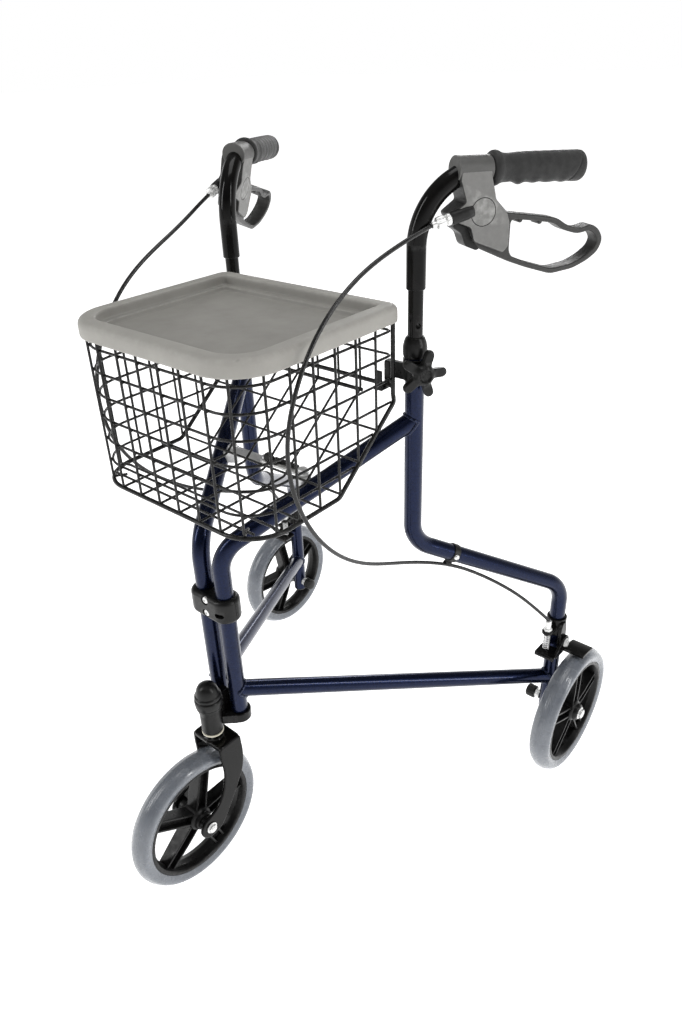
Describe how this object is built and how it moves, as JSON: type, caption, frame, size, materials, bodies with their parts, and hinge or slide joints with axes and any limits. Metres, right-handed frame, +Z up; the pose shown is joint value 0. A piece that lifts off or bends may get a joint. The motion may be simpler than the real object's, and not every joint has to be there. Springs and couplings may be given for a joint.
{
  "type": "three wheel rollator",
  "caption": "Folding walking aid with hinged tubular side frames, a swivelling front wheel, braked rear wheels, adjustable handles and a wire basket with a tray.",
  "frame": {"origin": "on the floor under the centre of the bounding box", "axes": "+Z up, -Y the walking direction, +X the user's left"},
  "size_m": [0.65, 0.6935, 0.8969],
  "materials": {
    "frame_blue": "gloss metallic",
    "black_paint": "gloss",
    "wire_black": "gloss dipped",
    "black_plastic": "satin moulded",
    "grey_plastic": "textured",
    "grip_rubber": "matte",
    "tyre_grey": "smooth translucent",
    "zinc": "zinc plated",
    "tray_grey": "fine grain",
    "cable_black": "smooth",
    "washer_ivory": "smooth"
  },
  "bodies": {
    "front_column": {"clamp_front": "black_plastic", "clamp_rear": "black_plastic", "clamp_screws": "zinc", "hinge_bracket": "black_plastic", "caster_housing": "black_plastic", "caster_cap": "black_plastic", "caster_bearings": "zinc", "caster_washer": "washer_ivory"},
    "caster_fork": {"caster_fork": "black_paint", "caster_stem": "zinc", "caster_axle": "zinc"},
    "caster_wheel": {"caster_rim": "black_plastic", "caster_tyre": "tyre_grey"},
    "basket": {"basket": "wire_black"},
    "tray": {"tray": "tray_grey"},
    "left_frame": {"left_front_tube": "frame_blue", "left_main_tube": "frame_blue", "left_bottom_tube": "frame_blue", "left_collar": "black_plastic", "left_hook": "black_plastic", "left_strut_bracket": "zinc", "left_brake_bracket": "black_paint", "left_axle": "zinc", "left_brake_spring": "zinc", "left_cable": "cable_black"},
    "left_knob": {"left_knob": "black_plastic"},
    "left_strut": {"left_strut": "zinc", "strut_pivot_bolt": "zinc"},
    "left_handle": {"left_post": "black_paint", "left_handle_tube": "black_paint", "left_grip": "grip_rubber", "left_brake_housing": "grey_plastic", "left_adjuster": "zinc", "left_lever_pin": "zinc"},
    "left_lever": {"left_lever": "grey_plastic"},
    "left_brake_arm": {"left_brake_arm": "black_paint"},
    "left_wheel": {"left_rim": "black_plastic", "left_tyre": "tyre_grey"},
    "right_frame": {"right_front_tube": "frame_blue", "right_main_tube": "frame_blue", "right_bottom_tube": "frame_blue", "right_collar": "black_plastic", "right_hook": "black_plastic", "right_strut_bracket": "zinc", "right_brake_bracket": "black_paint", "right_axle": "zinc", "right_brake_spring": "zinc", "right_cable": "cable_black"},
    "right_knob": {"right_knob": "black_plastic"},
    "right_strut": {"right_strut": "zinc"},
    "right_handle": {"right_post": "black_paint", "right_handle_tube": "black_paint", "right_grip": "grip_rubber", "right_brake_housing": "grey_plastic", "right_adjuster": "zinc", "right_lever_pin": "zinc"},
    "right_lever": {"right_lever": "grey_plastic"},
    "right_brake_arm": {"right_brake_arm": "black_paint"},
    "right_wheel": {"right_rim": "black_plastic", "right_tyre": "tyre_grey"}
  },
  "joints": [
    {"name": "caster_swivel", "type": "hinge", "parent": "front_column", "child": "caster_fork", "pos_m": [0, -0.1977, 0.23], "axis": [0, 0, 1], "continuous": true},
    {"name": "caster_spin", "type": "hinge", "parent": "caster_fork", "child": "caster_wheel", "pos_m": [-0.00085, -0.24669, 0.1], "axis": [0.9998, -0.0175, 0], "continuous": true},
    {"name": "left_fold", "type": "hinge", "parent": "front_column", "child": "left_frame", "pos_m": [0.0175, -0.1632, 0.4], "axis": [0, 0, 1], "range_deg": [0, 26]},
    {"name": "left_strut_pivot", "type": "hinge", "parent": "left_frame", "child": "left_strut", "pos_m": [0.05976, -0.05793, 0.56], "axis": [0, 0, 1], "range_deg": [0, 55.52]},
    {"name": "left_handle_height", "type": "slide", "parent": "left_frame", "child": "left_handle", "axis": [0, 0, 1], "range_m": [-0.045, 0.09], "deforming": ["left_cable"]},
    {"name": "left_knob_turn", "type": "hinge", "parent": "left_frame", "child": "left_knob", "pos_m": [0.16109, 0.03693, 0.677], "axis": [0.8572, -0.515, 0], "continuous": true},
    {"name": "left_lever_squeeze", "type": "hinge", "parent": "left_handle", "child": "left_lever", "pos_m": [0.17907, 0.10569, 0.84], "axis": [0.8572, -0.515, 0], "range_deg": [0, 14], "stiffness_Nm_per_rad": 3},
    {"name": "left_brake_apply", "type": "hinge", "parent": "left_frame", "child": "left_brake_arm", "pos_m": [0.28154, 0.24178, 0.224], "axis": [-1, 0, 0], "range_deg": [0, 5.2], "deforming": ["left_brake_spring"]},
    {"name": "left_wheel_spin", "type": "hinge", "parent": "left_frame", "child": "left_wheel", "pos_m": [0.3, 0.24678, 0.1], "axis": [1, 0, 0], "continuous": true},
    {"name": "right_fold", "type": "hinge", "parent": "front_column", "child": "right_frame", "pos_m": [-0.0175, -0.1632, 0.4], "axis": [0, 0, -1], "range_deg": [0, 26]},
    {"name": "right_strut_pivot", "type": "hinge", "parent": "right_frame", "child": "right_strut", "pos_m": [-0.05976, -0.05793, 0.56], "axis": [0, 0, -1], "range_deg": [0, 55.52]},
    {"name": "right_handle_height", "type": "slide", "parent": "right_frame", "child": "right_handle", "axis": [0, 0, 1], "range_m": [-0.045, 0.09], "deforming": ["right_cable"]},
    {"name": "right_knob_turn", "type": "hinge", "parent": "right_frame", "child": "right_knob", "pos_m": [-0.16109, 0.03693, 0.677], "axis": [-0.8572, -0.515, 0], "continuous": true},
    {"name": "right_lever_squeeze", "type": "hinge", "parent": "right_handle", "child": "right_lever", "pos_m": [-0.18597, 0.10246, 0.84196], "axis": [0.8534, 0.4201, -0.3087], "range_deg": [0, 14], "stiffness_Nm_per_rad": 3},
    {"name": "right_brake_apply", "type": "hinge", "parent": "right_frame", "child": "right_brake_arm", "pos_m": [-0.28154, 0.24178, 0.224], "axis": [-1, 0, 0], "range_deg": [0, 5.2], "deforming": ["right_brake_spring"]},
    {"name": "right_wheel_spin", "type": "hinge", "parent": "right_frame", "child": "right_wheel", "pos_m": [-0.3, 0.24678, 0.1], "axis": [1, 0, 0], "continuous": true},
    {"name": "basket_lift", "type": "slide", "parent": "front_column", "child": "basket", "axis": [0, 0, 1], "range_m": [0, 0.4331]},
    {"name": "tray_lift", "type": "slide", "parent": "basket", "child": "tray", "axis": [0, 0, 1], "range_m": [0, 0.08]}
  ],
  "couplings": [
    {"joint": "right_fold", "follows": "left_fold", "ratio": 1},
    {"joint": "left_strut_pivot", "follows": "left_fold", "ratio": 2.116},
    {"joint": "right_strut_pivot", "follows": "left_fold", "ratio": 2.116},
    {"joint": "basket_lift", "follows": "left_fold", "m_per_rad": 0.95},
    {"joint": "left_brake_apply", "follows": "left_lever_squeeze", "ratio": 0.35714},
    {"joint": "right_brake_apply", "follows": "right_lever_squeeze", "ratio": 0.35714}
  ]
}
